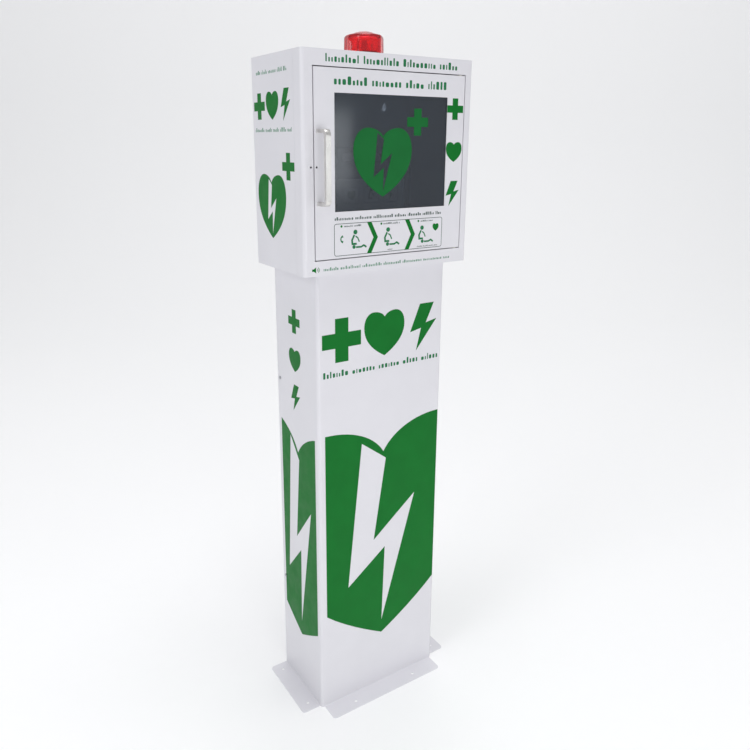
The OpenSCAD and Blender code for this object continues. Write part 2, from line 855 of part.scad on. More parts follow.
module beacon_lens() {
  color([0.80, 0.05, 0.06, 0.7]) difference() {
    rotate_extrude($fn = round_fn) polygon(lens_outline());
    translate([0, 0, lens_z - 1]) cylinder(r = lens_r - 2.4, h = lens_top - lens_z - 11, $fn = 10);
    translate([0, 0, lens_top - 14]) cylinder(r = 24, h = 7, $fn = round_fn);
  }
}

module beacon_grommet() {
  color(rubber_black) difference() {
    union() {
      bar_z(0, 0, grommet_r - fit, roof - sheet - 1.5, roof + seat);
      bar_z(0, 0, grommet_r + 3, roof - sheet - 2, roof - sheet);
      bar_z(0, 0, grommet_r + 3, roof, roof + seat - 0.1);
    }
    bar_z(0, 0, cable_r + 0.1, roof - 6, roof + 6);
  }
}

// ---------- shelf ----------

module shelf_rivet_places() {
  for (x = [-shelf_rivet_x, shelf_rivet_x]) translate([x, 0, shelf_z + shelf_rivet_z]) children();
}

module aed_shelf() {
  half = shelf_w / 2;
  y1 = back - sheet;
  color(steel_white) difference() {
    union() {
      block(-half, half, shelf_front, y1, shelf_z, shelf_z + sheet);
      block(-half, half, shelf_front, shelf_front + sheet, shelf_z, shelf_z + 22);
      block(-half, half, y1 - sheet, y1, shelf_z, shelf_z + 34);
      for (s = [-1, 1]) {
        mid = s * (half - sheet / 2);
        block(mid - sheet / 2, mid + sheet / 2, shelf_front, y1 - 2, col_h + sheet, shelf_z + 22);
      }
    }
    shelf_rivet_places() bar_y(0, 0, 2.1, y1 - 5, y1 + 5);
  }
}

module shelf_rivets() {
  color(steel_grey) shelf_rivet_places() {
    bar_y(0, 0, 4, back - 2 * sheet - 1.3, back - 2 * sheet);
    bar_y(0, 0, 2, back - 2 * sheet - 0.1, back + 1);
    bar_y(0, 0, 3.2, back, back + rear_head);
  }
}

// ---------- defibrillator ----------

// The outline of the case, moved in by an inset
module aed_outline(inset) {
  translate([0, aed_z + aed_h / 2]) round_rect(aed_w - 2 * inset, aed_h - 2 * inset, aed_r - inset);
}

module aed_slab(y0, y1, inset) {
  translate([0, y1, 0]) rotate([90, 0, 0]) linear_extrude(y1 - y0) aed_outline(inset);
}

module aed_back_case() {
  color(case_grey) {
    difference() {
      aed_slab(aed_split + 1, aed_back, 0);
      aed_slab(aed_split, aed_back - aed_wall, aed_wall);
    }
    handle_arch(aed_split + 1, aed_split + 15);
  }
}

// The carrying handle moulded on top of the case
grip_w = 110;
grip_h = 30;
module handle_arch(y0, y1) {
  top = aed_z + aed_h;
  translate([0, y1, top]) rotate([90, 0, 0]) linear_extrude(y1 - y0) difference() {
    translate([0, grip_h / 2 - 8]) round_rect(grip_w + 24, grip_h + 16, 12);
    translate([0, grip_h / 2 - 6]) round_rect(grip_w, grip_h - 12, 8);
    translate([-200, -50]) square([400, 50 - 0.5]);
  }
}

module aed_seal() {
  color(rubber_black) difference() {
    aed_slab(aed_split, aed_split + 1, 1);
    aed_slab(aed_split - 1, aed_split + 2, aed_wall);
  }
}

panel_w = 168;
panel_h = 118;

module aed_front_case() {
  color([0.30, 0.31, 0.33]) difference() {
    union() {
      aed_slab(aed_front + 4, aed_split, 0);
      aed_slab(aed_front, aed_front + 5, 4);
      handle_arch(aed_split - 13, aed_split);
    }
    difference() {
      aed_slab(aed_front + aed_wall + 1.5, aed_split + 1, aed_wall + 3);
      for (x = [-80, 80], z = [20, 136])
        bar_y(x, aed_z + z, 3.5, aed_front + 3, aed_front + 14);
    }
    round_plate(0, aed_z + 86, panel_w + 0.4, panel_h + 0.4, 8, aed_front - 1, aed_front + 1.5);
    bar_y(power_x, button_z, power_r + 0.4, aed_front - 1, aed_front + 8);
    bar_y(shock_x, button_z, shock_r + 0.4, aed_front - 1, aed_front + 8);
    for (k = [-3:3]) translate([0, 0, speaker_z + 2.6 * k])
      block(-34, 34, aed_front - 1, aed_front + 8, -0.7, 0.7);
    bar_y(lamp_x, speaker_z, 4.2, aed_front - 1, aed_front + 8);
  }
}

module aed_panel() {
  color([0.93, 0.93, 0.91]) difference() {
    round_plate(0, aed_z + 86, panel_w, panel_h, 8, aed_front + 0.5, aed_front + 1.5);
    bar_y(power_x, button_z, power_r + 0.4, aed_front - 1, aed_front + 8);
    bar_y(shock_x, button_z, shock_r + 0.4, aed_front - 1, aed_front + 8);
  }
}

module aed_power_button() {
  color([0.10, 0.55, 0.25]) {
    bar_y(power_x, button_z, power_r, aed_front - 3, aed_front + 6);
    bar_y(power_x, button_z, power_r + 2.5, aed_front + 4.3, aed_front + 6);
  }
}

module aed_shock_button() {
  color([0.90, 0.35, 0.08]) {
    bar_y(shock_x, button_z, shock_r, aed_front - 3, aed_front + 6);
    bar_y(shock_x, button_z, shock_r + 2.5, aed_front + 4.3, aed_front + 6);
  }
}

module aed_status_lamp() {
  color([0.30, 0.85, 0.40]) {
    bar_y(lamp_x, speaker_z, 4.1, aed_front - 0.6, aed_front + 6);
  }
}

module aed_speaker() {
  color(rubber_black) {
    bar_y(0, speaker_z, 9, aed_front + 4, aed_front + 16);
  }
}

module aed_feet() {
  color(rubber_black) for (s = [-1, 1])
    block(s * 66 - 20, s * 66 + 20, aed_front + 12, aed_back - 12, aed_z - aed_foot, aed_z);
}

module aed_battery() {
  color([0.16, 0.17, 0.20]) block(-84, -4, aed_split + 6, aed_back - aed_wall, aed_z + 12, aed_z + 62);
}

module aed_capacitor() {
  color([0.15, 0.20, 0.45]) bar_x(aed_back - aed_wall - 15, aed_z + 100, 15, -70, 10);
}

module aed_board() {
  color([0.08, 0.32, 0.16]) {
    block(-88, 88, aed_front + 14, aed_front + 15.6, aed_z + 14, aed_z + 142);
    block(20, 50, aed_front + 15.5, aed_front + 19, aed_z + 90, aed_z + 120);
    block(-60, -30, aed_front + 15.5, aed_front + 18, aed_z + 30, aed_z + 50);
  }
}

// ---------- nodes ----------

place() column_shell();
place() column_rear_panel();
place() rear_panel_screws();
place() column_top_plate();
place() cabinet_bolts();
place() cabinet_washers();
place() cabinet_nuts();
place() cabinet_wrap();
place() cabinet_back_panel();
place() back_panel_rivets();
place() front_frame();
place() door_gasket();
place() hinge_brackets();
place() hinge_pins();
place() catch_body();
place() catch_magnets();
place() door_sensor();
place() sensor_cable();
place() cable_clips();
place() alarm_base();
place() alarm_cover();
place() alarm_cover_screws();
place() alarm_board();
place() alarm_batteries();
place() alarm_sounder();
place() rocker_bezel();
place() alarm_rocker();
place() beacon_gasket();
place() beacon_base();
place() beacon_screws();
place() beacon_nuts();
place() beacon_reflector();
place() beacon_leds();
place() beacon_lens();
place() beacon_grommet();
place() beacon_cable();
place() aed_shelf();
place() shelf_rivets();
place() door_panel();
place() window_gasket();
place() window_pane();
place() window_retainer();
place() retainer_nuts();
place() door_handle();
place() handle_screws();
place() hinge_bushes();
place() strike_plate();
place() sensor_magnet();
place() aed_back_case();
place() aed_seal();
place() aed_front_case();
place() aed_feet();
place() aed_panel();
place() aed_battery();
place() aed_capacitor();
place() aed_board();
place() aed_speaker();
place() aed_status_lamp();
place() aed_power_button();
place() aed_shock_button();
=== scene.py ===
"""Looks of the defibrillator station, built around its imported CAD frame. Metres, +Z up, door to -Y."""

import json
import math
import random

import bmesh
import bpy
from mathutils import Matrix, Vector

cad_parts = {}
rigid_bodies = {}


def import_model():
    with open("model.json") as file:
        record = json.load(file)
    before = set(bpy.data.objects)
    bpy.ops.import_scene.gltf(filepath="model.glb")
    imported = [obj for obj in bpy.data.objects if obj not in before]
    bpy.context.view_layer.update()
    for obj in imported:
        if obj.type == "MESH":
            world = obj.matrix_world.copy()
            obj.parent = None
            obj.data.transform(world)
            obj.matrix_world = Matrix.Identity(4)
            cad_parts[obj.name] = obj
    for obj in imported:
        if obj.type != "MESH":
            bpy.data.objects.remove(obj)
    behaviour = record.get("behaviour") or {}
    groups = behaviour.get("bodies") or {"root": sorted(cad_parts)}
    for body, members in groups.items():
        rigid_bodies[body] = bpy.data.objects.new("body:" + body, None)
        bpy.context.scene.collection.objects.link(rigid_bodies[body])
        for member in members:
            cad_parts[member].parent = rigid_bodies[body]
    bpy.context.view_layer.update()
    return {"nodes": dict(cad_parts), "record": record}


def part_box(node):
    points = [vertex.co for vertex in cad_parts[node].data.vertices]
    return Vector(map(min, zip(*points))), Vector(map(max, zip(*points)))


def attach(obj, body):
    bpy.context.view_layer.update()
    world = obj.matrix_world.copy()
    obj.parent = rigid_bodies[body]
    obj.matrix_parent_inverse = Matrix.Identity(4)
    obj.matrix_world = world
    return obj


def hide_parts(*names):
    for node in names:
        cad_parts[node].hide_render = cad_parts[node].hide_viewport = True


for leftover in list(bpy.data.objects):
    bpy.data.objects.remove(leftover)

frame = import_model()
NODES = frame["nodes"]

MM = 0.001
DECAL = 0.15 * MM  # thickness of the vinyl
PANE_DECAL = 0.2 * MM  # thickness of the film on the window
PRINT = 0.1 * MM  # thickness of the signs on the unit's buttons
BIG_HEART = 575  # width of the column's heart in millimetres, before its sides are cut off
SAME_POINT = 0.000005  # vertices closer than this are joined


# ---------- where things are, from the CAD ----------

def low(node):
    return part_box(node)[0]


def high(node):
    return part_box(node)[1]


CAB_LO = Vector((low("cabinet_wrap").x, low("front_frame").y, low("cabinet_wrap").z))
CAB_HI = high("cabinet_wrap")
CAB_MID_Y = (CAB_LO.y + high("cabinet_back_panel").y) / 2
DOOR_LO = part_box("door_panel")[0]
COL_SKIN = 1.6 * MM  # column sheet and the gap behind it
COL_HALF = high("column_rear_panel").x + COL_SKIN
COL_BACK = high("column_rear_panel").y
COL_FRONT = low("column_top_plate").y - COL_SKIN
PANE_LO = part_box("window_pane")[0]
LENS_LO, LENS_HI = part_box("beacon_lens")


# ---------- camera ----------

cam_data = bpy.data.cameras.new("camera")
cam = bpy.data.objects.new("camera", cam_data)
bpy.context.scene.collection.objects.link(cam)
bpy.context.scene.camera = cam
cam_data.sensor_width = 36
cam_data.lens = 33.44
cam_data.shift_x = 0.0184
cam_data.shift_y = -0.0558
cam_data.clip_start, cam_data.clip_end = 0.05, 60
YAW, PITCH, ROLL = math.radians(-32.59), math.radians(-15.38), math.radians(0.16)
ahead = Vector((-math.sin(YAW) * math.cos(PITCH), math.cos(YAW) * math.cos(PITCH), math.sin(PITCH)))
right = Vector((math.cos(YAW), math.sin(YAW), 0))
upward = right.cross(ahead)
rolled_right = right * math.cos(ROLL) + upward * math.sin(ROLL)
rolled_up = upward * math.cos(ROLL) - right * math.sin(ROLL)
turn = Matrix((rolled_right, rolled_up, -ahead)).transposed()
cam.matrix_world = Matrix.Translation((-0.8139, -1.2663 + 0.01625, 1.2895)) @ turn.to_4x4()


# ---------- materials ----------

def srgb(r, g, b):
    """An 8-bit screen colour as Blender's linear colour."""
    def lin(c):
        c /= 255
        return c / 12.92 if c <= 0.04045 else ((c + 0.055) / 1.055) ** 2.4
    return (lin(r), lin(g), lin(b), 1.0)


class Mat:
    """A Principled material with small helpers for its procedural detail."""

    def __init__(self, name, colour, rough=0.5, metal=0.0, **sockets):
        self.mat = bpy.data.materials.new(name)
        self.mat.use_nodes = True
        self.tree = self.mat.node_tree
        self.bsdf = self.tree.nodes["Principled BSDF"]
        self.colour = colour
        self.bsdf.inputs["Base Color"].default_value = colour
        self.bsdf.inputs["Roughness"].default_value = rough
        self.bsdf.inputs["Metallic"].default_value = metal
        for key, value in sockets.items():
            self.bsdf.inputs[key.replace("_", " ")].default_value = value
        self.normal = None
        self.coords = self.tree.nodes.new("ShaderNodeTexCoord")

    def new(self, kind, **inputs):
        node = self.tree.nodes.new("ShaderNode" + kind)
        for key, value in inputs.items():
            node.inputs[key.replace("_", " ")].default_value = value
        return node

    def link(self, a, b):
        self.tree.links.new(a, b)

    def stretched(self, scale):
        mapping = self.new("Mapping")
        mapping.inputs["Scale"].default_value = scale
        self.link(self.coords.outputs["Object"], mapping.inputs["Vector"])
        return mapping.outputs["Vector"]

    def noise(self, scale, detail=3.0, rough=0.5, stretch=(1, 1, 1)):
        node = self.new("TexNoise", Scale=scale, Detail=detail, Roughness=rough)
        self.link(self.stretched(stretch), node.inputs["Vector"])
        return node.outputs["Fac"]

    def bump(self, fac, distance, strength=1.0):
        node = self.new("Bump", Strength=strength, Distance=distance)
        self.link(fac, node.inputs["Height"])
        if self.normal is not None:
            self.link(self.normal, node.inputs["Normal"])
        self.normal = node.outputs["Normal"]
        self.link(self.normal, self.bsdf.inputs["Normal"])
        return self

    def ramp(self, fac, stops, clamp_low=0.35, clamp_high=0.65):
        """A colour ramp over a noise, from its first colour to its last."""
        node = self.tree.nodes.new("ShaderNodeValToRGB")
        node.color_ramp.elements[0].position = clamp_low
        node.color_ramp.elements[0].color = stops[0]
        node.color_ramp.elements[1].position = clamp_high
        node.color_ramp.elements[1].color = stops[1]
        self.link(fac, node.inputs["Fac"])
        return node.outputs["Color"]

    def vary(self, fac, spread, lo=0.35, hi=0.65):
        """The base colour a little darker and lighter over a noise."""
        dark = tuple(c * (1 - spread) for c in self.colour[:3]) + (1.0,)
        light = tuple(min(1, c * (1 + spread * 0.6)) for c in self.colour[:3]) + (1.0,)
        self.link(self.ramp(fac, (dark, light), lo, hi), self.bsdf.inputs["Base Color"])
        return self

    def vary_rough(self, fac, a, b, lo=0.35, hi=0.65):
        node = self.new("MapRange")
        node.inputs["From Min"].default_value = lo
        node.inputs["From Max"].default_value = hi
        node.inputs["To Min"].default_value = a
        node.inputs["To Max"].default_value = b
        self.link(fac, node.inputs["Value"])
        self.link(node.outputs["Result"], self.bsdf.inputs["Roughness"])
        return self


def powder_coat(name, colour):
    m = Mat(name, colour, 0.36, Specular_IOR_Level=0.5)
    m.vary(m.noise(9, 4), 0.018)
    m.vary_rough(m.noise(14, 3), 0.30, 0.40)
    m.bump(m.noise(620, 2, 0.45), 0.00005, 0.55)
    m.bump(m.noise(90, 1, 0.4), 0.00006, 0.35)
    return m.mat


def vinyl(name, colour):
    m = Mat(name, colour, 0.42, Specular_IOR_Level=0.12)
    m.vary(m.noise(26, 3), 0.05)
    m.vary_rough(m.noise(40, 2), 0.36, 0.48)
    m.bump(m.noise(420, 2, 0.4), 0.00003, 0.35)
    return m.mat


def metal(name, colour, rough, grain, stretch=(1, 1, 1), relief=0.00001):
    m = Mat(name, colour, rough, 1.0)
    m.vary_rough(m.noise(grain, 3, 0.6, stretch), rough * 0.85, rough * 1.2)
    m.bump(m.noise(grain, 3, 0.6, stretch), relief, 0.25)
    m.vary(m.noise(60, 3), 0.05)
    return m.mat


def plastic(name, colour, rough, grain=500, depth=0.00004, spread=0.04, **sockets):
    m = Mat(name, colour, rough, **sockets)
    m.vary(m.noise(30, 3), spread)
    m.vary_rough(m.noise(60, 2), rough * 0.88, rough * 1.12)
    m.bump(m.noise(grain, 2, 0.5), depth, 0.5)
    return m.mat


WHITE = powder_coat("powder_coat_white", srgb(224, 223, 228))
GREEN = vinyl("vinyl_green", srgb(14, 112, 40))
GREEN_FINE = vinyl("vinyl_green_fine", srgb(44, 118, 76))
GREEN_PALE = vinyl("vinyl_green_pale", srgb(112, 152, 130))
GREEN_PANE = vinyl("vinyl_green_on_glass", srgb(24, 106, 50))
INK = plastic("print_grey_green", srgb(52, 78, 68), 0.5, 300, 0.00002)
ZINC = metal("zinc_plate", srgb(176, 178, 182), 0.34, 300)
NICKEL = metal("satin_nickel", srgb(224, 222, 218), 0.32, 900, (1, 1, 0.06), 0.000002)
CHROME = metal("bright_reflector", srgb(225, 225, 228), 0.08, 200)
RUBBER = plastic("black_rubber", srgb(20, 20, 21), 0.72, 700, 0.00006)
BLACK = plastic("black_plastic", srgb(17, 17, 18), 0.42)
CASE = plastic("case_charcoal", srgb(56, 58, 63), 0.55, 900, 0.00008)
CASE_FRONT = plastic("case_front_charcoal", srgb(74, 76, 81), 0.52, 900, 0.00008)
WHITE_PLASTIC = plastic("white_plastic", srgb(226, 226, 220), 0.42, 700, 0.00004)
NYLON = plastic("natural_nylon", srgb(222, 220, 206), 0.45, 500)
BOARD = plastic("board_green", srgb(24, 92, 46), 0.38, 240, 0.00005, 0.12)
CELL = plastic("cell_wrap", srgb(48, 52, 62), 0.32, 120, 0.00002)
CAPACITOR = plastic("capacitor_wrap", srgb(40, 54, 118), 0.30, 120, 0.00002)
LED = plastic("lamp_board", srgb(236, 226, 196), 0.35, 120, 0.00002)
BUTTON_GREEN = plastic("button_green", srgb(30, 132, 66), 0.38, 600, 0.00004)
BUTTON_ORANGE = plastic("button_orange", srgb(226, 92, 24), 0.38, 600, 0.00004)
ROCKER_RED = plastic("rocker_red", srgb(176, 24, 20), 0.28, 300, 0.00002)
LAMP_GREEN = plastic("lamp_green", srgb(84, 210, 110), 0.22, 300, 0.00001)


def smoked_pane():
    m = Mat("smoked_pane", (0.185, 0.222, 0.275, 1.0), 0.07, IOR=1.49, Transmission_Weight=0.87)
    m.bump(m.noise(3.5, 1, 0.4), 0.0004, 0.25)
    m.vary_rough(m.noise(7, 4, 0.6), 0.06, 0.13)
    return m.mat


def red_lens():
    m = Mat("red_lens_clear", (1.0, 0.045, 0.065, 1.0), 0.05, IOR=1.49, Transmission_Weight=0.84)
    m.bump(m.noise(60, 2, 0.4), 0.0001, 0.12)
    m.vary_rough(m.noise(40, 3), 0.03, 0.10)
    return m.mat


PANE = smoked_pane()
RED = red_lens()

NODE_MATERIAL = {
    "white_paint": WHITE, "zinc": ZINC, "satin_nickel": NICKEL, "black_rubber": RUBBER,
    "black_plastic": BLACK, "case_grey": CASE, "case_front": CASE_FRONT,
    "white_plastic": WHITE_PLASTIC, "smoked_glass": PANE, "red_lens": RED, "reflector": CHROME,
    "board_green": BOARD, "cell": CELL, "capacitor": CAPACITOR, "led": LED,
    "power_green": BUTTON_GREEN, "shock_orange": BUTTON_ORANGE, "rocker_red": ROCKER_RED,
    "nylon": NYLON, "lamp_green": LAMP_GREEN,
}
SLOT_OF = {part["node"]: part["material_slot"] for part in frame["record"]["subparts"]}

# Rounding of each node's sharp edges, in millimetres
ROUNDED = {
    "column_shell": 0.6, "column_rear_panel": 0.5, "cabinet_wrap": 0.6, "front_frame": 0.6,
    "door_panel": 0.6, "window_pane": 0.3, "window_retainer": 0.4, "aed_shelf": 0.5,
    "door_handle": 1.6, "handle_screws": 0.4, "cabinet_bolts": 0.5, "cabinet_nuts": 0.4,
    "cabinet_washers": 0.2, "rear_panel_screws": 0.6, "back_panel_rivets": 0.5,
    "shelf_rivets": 0.4, "retainer_nuts": 0.3, "alarm_base": 1.2, "alarm_cover": 0.8,
    "alarm_rocker": 0.7, "rocker_bezel": 0.5, "alarm_cover_screws": 0.4, "door_sensor": 1.0,
    "catch_body": 0.8, "catch_magnets": 0.3, "sensor_magnet": 0.8, "door_gasket": 1.2,
    "hinge_brackets": 0.5, "hinge_pins": 0.4, "hinge_bushes": 0.3, "strike_plate": 0.3,
    "beacon_base": 0.6, "beacon_gasket": 0.4, "aed_back_case": 2.0, "aed_front_case": 1.2,
    "aed_feet": 1.2, "aed_panel": 0.3, "aed_power_button": 1.0, "aed_shock_button": 1.0,
    "aed_status_lamp": 0.5, "aed_battery": 2.0, "cable_clips": 0.6, "column_top_plate": 0.4,
}


def soften(obj, width, segments=3, angle=40):
    bevel = obj.modifiers.new("edges", "BEVEL")
    bevel.width = width
    bevel.segments = segments
    bevel.limit_method = "ANGLE"
    bevel.angle_limit = math.radians(angle)
    bevel.harden_normals = True
    bevel.use_clamp_overlap = True


for name, node in NODES.items():
    node.data.materials.clear()
    node.data.materials.append(NODE_MATERIAL[SLOT_OF[name]])
    if name in ROUNDED:
        weld = node.modifiers.new("join_vertices", "WELD")
        weld.merge_threshold = SAME_POINT
        flat = node.modifiers.new("join_flat_faces", "DECIMATE")
        flat.decimate_type = "DISSOLVE"
        flat.angle_limit = math.radians(0.2)
        soften(node, ROUNDED[name] * MM)


# ---------- vinyl graphics ----------

UP = Vector((0, 0, 1))


def flat_piece(name, rings, origin, across, up, thick, material, body):
    """A thin piece with the outlines in rings, in metres. Its back lies on the plane at origin."""
    curve = bpy.data.curves.new(name, "CURVE")
    curve.dimensions = "2D"
    curve.fill_mode = "BOTH"
    curve.extrude = thick / 2
    for ring in rings:
        spline = curve.splines.new("POLY")
        spline.points.add(len(ring) - 1)
        for point, (u, v) in zip(spline.points, ring):
            point.co = (u, v, 0, 1)
        spline.use_cyclic_u = True
    temp = bpy.data.objects.new(name + "_curve", curve)
    bpy.context.scene.collection.objects.link(temp)
    bpy.context.view_layer.update()
    depsgraph = bpy.context.evaluated_depsgraph_get()
    mesh = bpy.data.meshes.new_from_object(temp.evaluated_get(depsgraph))
    bpy.data.objects.remove(temp)
    out = across.cross(up)
    place = Matrix((across, up, out)).transposed().to_4x4()
    place.translation = origin + out * thick / 2
    mesh.transform(place)
    obj = bpy.data.objects.new(name, mesh)
    bpy.context.scene.collection.objects.link(obj)
    mesh.materials.clear()
    mesh.materials.append(material)
    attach(obj, body)
    return obj


def scaled(ring, scale_u, scale_v=None, at=(0, 0)):
    scale_v = scale_u if scale_v is None else scale_v
    return [(at[0] + u * scale_u, at[1] + v * scale_v) for u, v in ring]


def bezier(p0, p1, p2, p3, steps=14):
    out = []
    for i in range(1, steps + 1):
        t = i / steps
        s = 1 - t
        out.append(tuple(s ** 3 * a + 3 * s * s * t * b + 3 * s * t * t * c + t ** 3 * d
                         for a, b, c, d in zip(p0, p1, p2, p3)))
    return out


def heart():
    """A heart one unit wide and about 0.95 high, with its tip at (0, 0)."""
    half = [(0.0, 0.0)]
    half += bezier((0.0, 0.0), (0.18, 0.10), (0.50, 0.30), (0.50, 0.64))
    half += bezier((0.50, 0.64), (0.50, 0.84), (0.39, 0.95), (0.26, 0.95))
    half += bezier((0.26, 0.95), (0.14, 0.95), (0.04, 0.90), (0.0, 0.83))
    return half + [(-u, v) for u, v in reversed(half[1:-1])]


def circle(radius, at=(0, 0), steps=32):
    return [(at[0] + radius * math.cos(2 * math.pi * i / steps),
             at[1] + radius * math.sin(2 * math.pi * i / steps)) for i in range(steps)]


def cross(size, arm):
    h, a = size / 2, arm / 2
    return [(-a, -h), (a, -h), (a, -a), (h, -a), (h, a), (a, a), (a, h), (-a, h), (-a, a), (-h, a),
            (-h, -a), (-a, -a)]


def rect(u0, u1, v0, v1):
    return [(u0, v0), (u1, v0), (u1, v1), (u0, v1)]


def round_rect(u0, u1, v0, v1, r, steps=8):
    ring = []
    corners = ((u1 - r, v1 - r, 0), (u0 + r, v1 - r, 90), (u0 + r, v0 + r, 180), (u1 - r, v0 + r, 270))
    for cu, cv, start in corners:
        for i in range(steps + 1):
            a = math.radians(start + 90 * i / steps)
            ring.append((cu + r * math.cos(a), cv + r * math.sin(a)))
    return ring


def clip_half(ring, axis, limit, keep_below):
    """The ring cut off at a straight line across one axis."""
    out = []
    sign = 1 if keep_below else -1
    for (a, b) in zip(ring, ring[1:] + ring[:1]):
        da, db = sign * (a[axis] - limit), sign * (b[axis] - limit)
        if da <= 0:
            out.append(a)
        if (da < 0 < db) or (db < 0 < da):
            t = da / (da - db)
            out.append(tuple(p + (q - p) * t for p, q in zip(a, b)))
    return out


def bolt(stretch_u=1.0):
    """A plain zigzag bolt that fits inside the unit heart."""
    ring = [(-0.100, 0.885), (-0.162, 0.275), (0.012, 0.405), (0.0, 0.062), (0.156, 0.61),
            (-0.042, 0.452), (0.012, 0.80)]
    return scaled(ring, stretch_u, 1.0)


def stroke(points, width):
    """The outline of a line of constant width along points, with mitred corners."""
    left, right_side = [], []
    for i, p in enumerate(points):
        dirs = []
        if i > 0:
            dirs.append(Vector((p[0] - points[i - 1][0], p[1] - points[i - 1][1])).normalized())
        if i < len(points) - 1:
            dirs.append(Vector((points[i + 1][0] - p[0], points[i + 1][1] - p[1])).normalized())
        normals = [Vector((-d.y, d.x)) for d in dirs]
        mitre = sum(normals, Vector((0, 0))).normalized()
        reach = width / 2 / max(0.35, mitre.dot(normals[0]))
        left.append((p[0] + mitre.x * reach, p[1] + mitre.y * reach))
        right_side.append((p[0] - mitre.x * reach, p[1] - mitre.y * reach))
    return left + right_side[::-1]


def text_band(u0, u1, v, height, seed, words=5):
    """A row of small rounded bars in place of a line of writing."""
    draw = random.Random(seed)
    rings = []
    u = u0
    word_length = (u1 - u0) / words
    next_gap = u0 + word_length * draw.uniform(0.7, 1.2)
    while u < u1 - height * 0.3:
        w = min(height * draw.uniform(0.16, 0.52), u1 - u)
        h = height * draw.choice((0.55, 0.66, 0.66, 1.0))
        r = min(w, h) * 0.3
        rings.append(round_rect(u, u + w, v - height / 2, v - height / 2 + h, r, 3))
        u += w + height * 0.24
        if u > next_gap:
            u += height * 0.55
            next_gap = u + word_length * draw.uniform(0.6, 1.1)
    return rings


def moved(rings, du, dv, scale=1.0):
    return [[(u * scale + du, v * scale + dv) for u, v in ring] for ring in rings]


def mm(rings):
    return [[(u * MM, v * MM) for u, v in ring] for ring in rings]


def glyph_cross(size):
    return [cross(size, size * 0.34)]


def glyph_heart(size):
    return [scaled(heart(), size, at=(0, -size * 0.48))]


def glyph_bolt(size):
    ring = [(-0.10, 0.50), (-0.34, -0.08), (-0.06, -0.02), (-0.18, -0.50), (0.34, 0.14), (0.06, 0.08),
            (0.26, 0.50)]
    return [scaled(ring, size)]


def sticker(name, rings, where, centre, material, body, thick=DECAL):
    """A vinyl piece whose rings are in millimetres about a centre on one of the station's faces."""
    origin, across = where
    place = origin + across * centre[0] * MM + UP * centre[1] * MM
    return flat_piece(name, mm(rings), place, across, UP, thick, material, body)


CAB_Z = CAB_LO.z
FRONT_FACE = (Vector((0, DOOR_LO.y, CAB_Z)), Vector((1, 0, 0)))
GLASS_FACE = (Vector((0, PANE_LO.y, CAB_Z)), Vector((1, 0, 0)))
CAB_LEFT = (Vector((CAB_LO.x, CAB_MID_Y, CAB_Z)), Vector((0, -1, 0)))
CAB_RIGHT = (Vector((CAB_HI.x, CAB_MID_Y, CAB_Z)), Vector((0, 1, 0)))
COL_MID_Y = (COL_FRONT + COL_BACK) / 2
COL_FACE = (Vector((0, COL_FRONT, 0)), Vector((1, 0, 0)))
COL_LEFT = (Vector((-COL_HALF, COL_MID_Y, 0)), Vector((0, -1, 0)))
COL_RIGHT = (Vector((COL_HALF, COL_MID_Y, 0)), Vector((0, 1, 0)))


def heart_with_bolt(width, bolt_stretch=1.0):
    return scaled(heart(), width), scaled(bolt(bolt_stretch), width)


def cropped_heart(width, u_low, u_high, bolt_stretch):
    outline, zigzag = heart_with_bolt(width, bolt_stretch)
    outline = clip_half(outline, 0, u_high, True)
    outline = clip_half(outline, 0, u_low, False)
    return [outline, zigzag]


def decorate_column():
    row = moved(glyph_cross(94), -103, 0) + moved(glyph_heart(104), 4, 0) + moved(glyph_bolt(106), 108, 0)
    sticker("column_front_row", row, COL_FACE, (0, 894), GREEN, "station")
    band = text_band(-151, 151, 0, 14, 11)
    sticker("column_front_band", band, COL_FACE, (3, 823), GREEN_FINE, "station")
    big_heart = cropped_heart(BIG_HEART, -150, 152, 1.0)
    sticker("column_front_heart", big_heart, COL_FACE, (4.5, 141), GREEN, "station")
    for side, face in (("left", COL_LEFT), ("right", COL_RIGHT)):
        flip = 1 if side == "left" else -1
        side_heart = cropped_heart(BIG_HEART, -79, 79, 0.62)
        sticker("column_%s_heart" % side, side_heart, face, (-1 * flip, 142), GREEN, "station")
        for what, rings, z in (("cross", glyph_cross(52), 920), ("heart", glyph_heart(54), 833),
                               ("bolt", glyph_bolt(62), 746)):
            sticker("column_%s_%s" % (side, what), rings, face, (-7 * flip, z), GREEN, "station")


def decorate_cabinet_sides():
    for side, face in (("left", CAB_LEFT), ("right", CAB_RIGHT)):
        flip = 1 if side == "left" else -1
        name = "cabinet_%s_" % side
        row = moved(glyph_cross(50), -57, 0) + moved(glyph_heart(55), 1, 0) + moved(glyph_bolt(58), 58, 0)
        sticker(name + "row", row, face, (-16 * flip, 318), GREEN, "station")
        for where, half_length, u, v, seed in (("top", 68, -16, 381, 21), ("low", 80, -14, 273, 22)):
            band = text_band(-half_length, half_length, 0, 8, seed)
            sticker(name + "band_" + where, band, face, (u * flip, v), GREEN_PALE, "station")
        tall_heart = [scaled(ring, 1, 1.05) for ring in heart_with_bolt(127)]
        sticker(name + "heart", tall_heart, face, (-28 * flip, 61), GREEN, "station")
        sticker(name + "cross", [cross(51, 16.5)], face, (47.5 * flip, 205), GREEN, "station")


def speaker_icon():
    body = [(-7, -2.2), (-3.6, -2.2), (1.2, -5.6), (1.2, 5.6), (-3.6, 2.2), (-7, 2.2)]
    waves = []
    for radius in (3.2, 6.0):
        arc = [(1.8 + radius * math.cos(math.radians(a)), radius * math.sin(math.radians(a)))
               for a in range(-48, 49, 12)]
        waves.append(stroke(arc, 1.2))
    return [body] + waves


def chevron(thick, half_height, reach):
    return [(0, half_height), (thick, half_height), (thick + reach, 0), (thick, -half_height),
            (0, -half_height), (reach, 0)]


